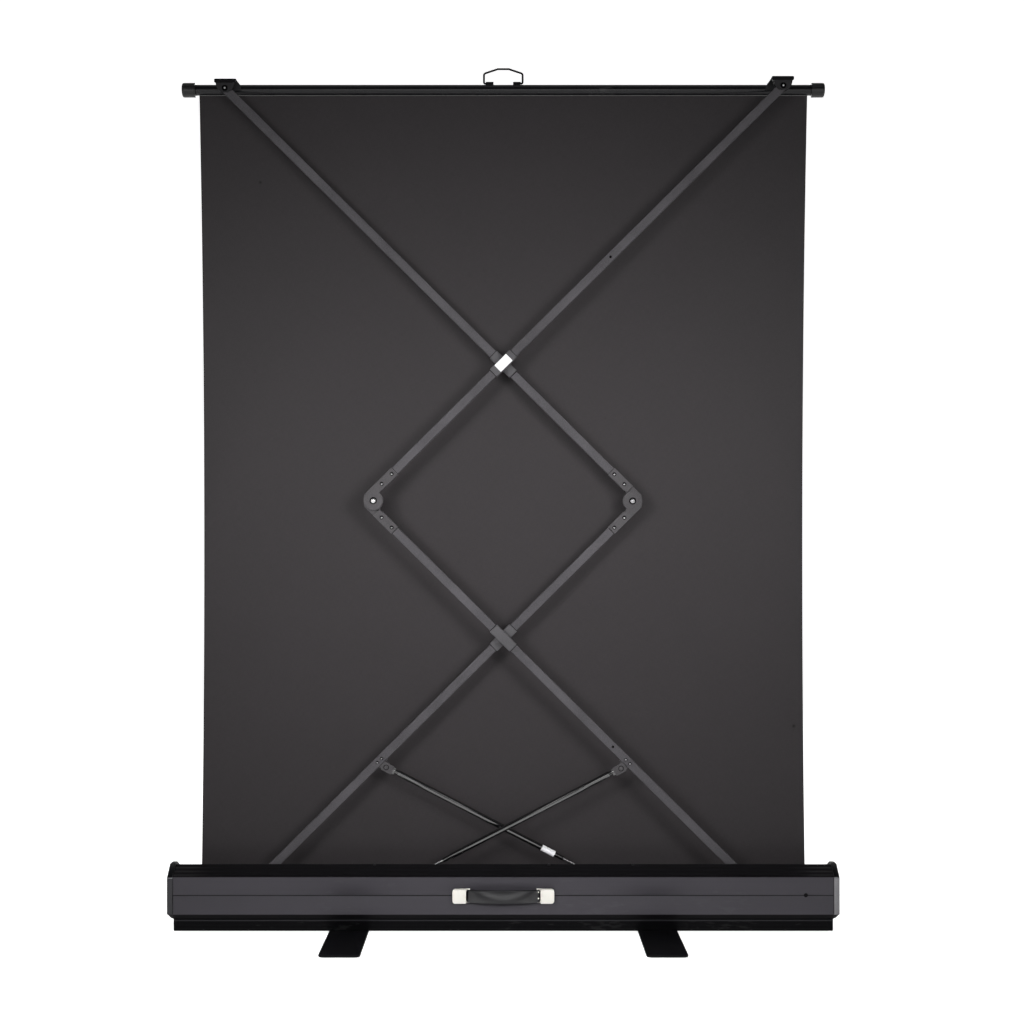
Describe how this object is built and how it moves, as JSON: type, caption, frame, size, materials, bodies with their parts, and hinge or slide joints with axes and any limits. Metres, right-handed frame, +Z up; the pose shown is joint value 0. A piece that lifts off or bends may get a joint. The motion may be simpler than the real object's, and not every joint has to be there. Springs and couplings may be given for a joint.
{
  "type": "pull up projection screen",
  "caption": "Portable floor-standing projection screen: long case with spring roller, two-stage scissor frame with crossed gas springs, round top tube with wire bail, swivel feet.",
  "frame": {"origin": "floor level, under the middle of the case", "axes": "+X along the case, to the right when seen from behind; +Y towards the audience; +Z up"},
  "size_m": [1.372, 0.496, 1.7947],
  "materials": {
    "case_paint": "dark grey satin anodised",
    "rail_paint": "black satin",
    "cap_plastic": "black satin",
    "arm_paint": "dark grey satin",
    "elbow_paint": "dark grey satin",
    "sleeve_plastic": "matt",
    "tube_paint": "black semi-gloss",
    "gloss_black": "black gloss",
    "rod_steel": "plated",
    "wire_steel": "black",
    "zinc": "zinc plated",
    "raw_aluminium": "mill",
    "cloth_black": "matt",
    "clip_plastic": "pale satin",
    "grip_rubber": "soft gloss",
    "foot_paint": "black satin",
    "rubber": "matt"
  },
  "bodies": {
    "case": {"case_channel": "case_paint", "base_rail": "rail_paint", "end_cap_left": "cap_plastic", "end_cap_right": "cap_plastic", "base_hinge_left": "zinc", "base_hinge_right": "zinc", "base_pin_left": "zinc", "base_pin_right": "zinc", "roller_bracket_left": "zinc", "roller_bracket_right": "zinc", "spring_anchor_left": "zinc", "spring_anchor_right": "zinc", "foot_pivot_left": "zinc", "foot_pivot_right": "zinc", "handle_clip_left": "clip_plastic", "handle_clip_right": "clip_plastic", "screen_fabric": "cloth_black"},
    "roller": {"roller_tube": "raw_aluminium", "fabric_on_roller": "cloth_black", "roller_pin_end": "sleeve_plastic", "roller_spring_end": "sleeve_plastic", "roller_spring": "zinc"},
    "lower_left": {"lower_arm_left": "arm_paint", "lower_elbow_right": "elbow_paint", "elbow_pin_right": "zinc", "spring_lug_left": "elbow_paint"},
    "lower_right": {"lower_arm_right": "arm_paint", "lower_elbow_left": "elbow_paint", "elbow_pin_left": "zinc", "spring_lug_right": "elbow_paint"},
    "upper_left": {"upper_arm_left": "arm_paint", "upper_elbow_right": "elbow_paint"},
    "upper_right": {"upper_arm_right": "arm_paint", "upper_elbow_left": "elbow_paint"},
    "top_bar": {"top_tube": "tube_paint", "tube_cap_left": "cap_plastic", "tube_cap_right": "cap_plastic", "top_bracket_left": "elbow_paint", "top_bracket_right": "elbow_paint", "top_pin_left": "zinc", "top_pin_right": "zinc", "bail_clip_left": "cap_plastic", "bail_clip_right": "cap_plastic"},
    "sleeve_lower_left": {"lower_sleeve_left": "sleeve_plastic"},
    "sleeve_lower_right": {"lower_sleeve_right": "sleeve_plastic"},
    "sleeve_upper_left": {"upper_sleeve_left": "sleeve_plastic"},
    "sleeve_upper_right": {"upper_sleeve_right": "sleeve_plastic"},
    "cylinder_left": {"gas_cylinder_left": "gloss_black"},
    "cylinder_right": {"gas_cylinder_right": "gloss_black"},
    "rod_left": {"gas_rod_left": "rod_steel"},
    "rod_right": {"gas_rod_right": "rod_steel"},
    "bail": {"bail_handle": "wire_steel"},
    "swivel_left": {"foot_left": "foot_paint", "foot_pad_left_front": "rubber", "foot_pad_left_rear": "rubber"},
    "swivel_right": {"foot_right": "foot_paint", "foot_pad_right_front": "rubber", "foot_pad_right_rear": "rubber"},
    "grip": {"carry_grip": "grip_rubber"}
  },
  "joints": [
    {"name": "fold", "type": "hinge", "parent": "case", "child": "lower_left", "pos_m": [-0.578, 0.007, 0.03], "axis": [0, 1, 0], "range_deg": [0, 43.5], "deforming": ["screen_fabric"]},
    {"name": "fold_right", "type": "hinge", "parent": "case", "child": "lower_right", "pos_m": [0.578, -0.011, 0.03], "axis": [0, 1, 0], "range_deg": [-43.5, 0]},
    {"name": "elbow_right", "type": "hinge", "parent": "lower_left", "child": "upper_left", "pos_m": [0.26847, 0.007, 0.88701], "axis": [0, 1, 0], "range_deg": [-87, 0]},
    {"name": "elbow_left", "type": "hinge", "parent": "lower_right", "child": "upper_right", "pos_m": [-0.26847, -0.011, 0.88701], "axis": [0, 1, 0], "range_deg": [0, 87]},
    {"name": "top_bar_pivot", "type": "hinge", "parent": "upper_left", "child": "top_bar", "pos_m": [-0.578, 0.007, 1.74402], "axis": [0, 1, 0], "range_deg": [0, 43.5]},
    {"name": "slide_lower_left", "type": "slide", "parent": "lower_left", "child": "sleeve_lower_left", "axis": [-0.7101, 0, -0.7041], "range_m": [0, 0.2359]},
    {"name": "slide_lower_right", "type": "slide", "parent": "lower_right", "child": "sleeve_lower_right", "axis": [0.7101, 0, -0.7041], "range_m": [0, 0.2359]},
    {"name": "slide_upper_left", "type": "slide", "parent": "upper_left", "child": "sleeve_upper_left", "axis": [-0.7101, 0, 0.7041], "range_m": [0, 0.2359]},
    {"name": "slide_upper_right", "type": "slide", "parent": "upper_right", "child": "sleeve_upper_right", "axis": [0.7101, 0, 0.7041], "range_m": [0, 0.2359]},
    {"name": "gas_spring_left", "type": "hinge", "parent": "lower_left", "child": "cylinder_left", "pos_m": [-0.24297, 0.007, 0.33407], "axis": [0, 1, 0], "range_deg": [-71.3, 0]},
    {"name": "gas_spring_right", "type": "hinge", "parent": "lower_right", "child": "cylinder_right", "pos_m": [0.24297, -0.011, 0.33407], "axis": [0, 1, 0], "range_deg": [0, 71.3]},
    {"name": "rod_slide_left", "type": "slide", "parent": "cylinder_left", "child": "rod_left", "axis": [-0.8875, 0, 0.4609], "range_m": [0, 0.1932]},
    {"name": "rod_slide_right", "type": "slide", "parent": "cylinder_right", "child": "rod_right", "axis": [0.8875, 0, 0.4609], "range_m": [0, 0.1932]},
    {"name": "roller_spin", "type": "hinge", "parent": "case", "child": "roller", "pos_m": [0, 0.036, 0.033], "axis": [-1, 0, 0], "range_deg": [0, 5100]},
    {"name": "bail_pivot", "type": "hinge", "parent": "top_bar", "child": "bail", "pos_m": [0, 0.033, 1.76262], "axis": [1, 0, 0], "range_deg": [-30, 90]},
    {"name": "foot_swivel_left", "type": "hinge", "parent": "case", "child": "swivel_left", "pos_m": [-0.316, 0, 0.004], "axis": [0, 0, 1], "range_deg": [0, 90]},
    {"name": "foot_swivel_right", "type": "hinge", "parent": "case", "child": "swivel_right", "pos_m": [0.316, 0, 0.004], "axis": [0, 0, 1], "range_deg": [-90, 0]},
    {"name": "grip_play", "type": "slide", "parent": "case", "child": "grip", "axis": [0, -1, 0], "range_m": [0, 0.005]}
  ],
  "couplings": [
    {"joint": "fold_right", "follows": "fold", "ratio": -1},
    {"joint": "elbow_right", "follows": "fold", "ratio": -2},
    {"joint": "elbow_left", "follows": "fold", "ratio": 2},
    {"joint": "top_bar_pivot", "follows": "fold", "ratio": 1},
    {"joint": "slide_lower_left", "follows": "fold", "m_per_rad": 0.31068},
    {"joint": "slide_lower_right", "follows": "fold", "m_per_rad": 0.31068},
    {"joint": "slide_upper_left", "follows": "fold", "m_per_rad": 0.31068},
    {"joint": "slide_upper_right", "follows": "fold", "m_per_rad": 0.31068},
    {"joint": "gas_spring_left", "follows": "fold", "ratio": -1.6393},
    {"joint": "gas_spring_right", "follows": "fold", "ratio": 1.6393},
    {"joint": "rod_slide_left", "follows": "fold", "m_per_rad": 0.25454},
    {"joint": "rod_slide_right", "follows": "fold", "m_per_rad": 0.25454},
    {"joint": "roller_spin", "follows": "fold", "ratio": 116.48}
  ]
}
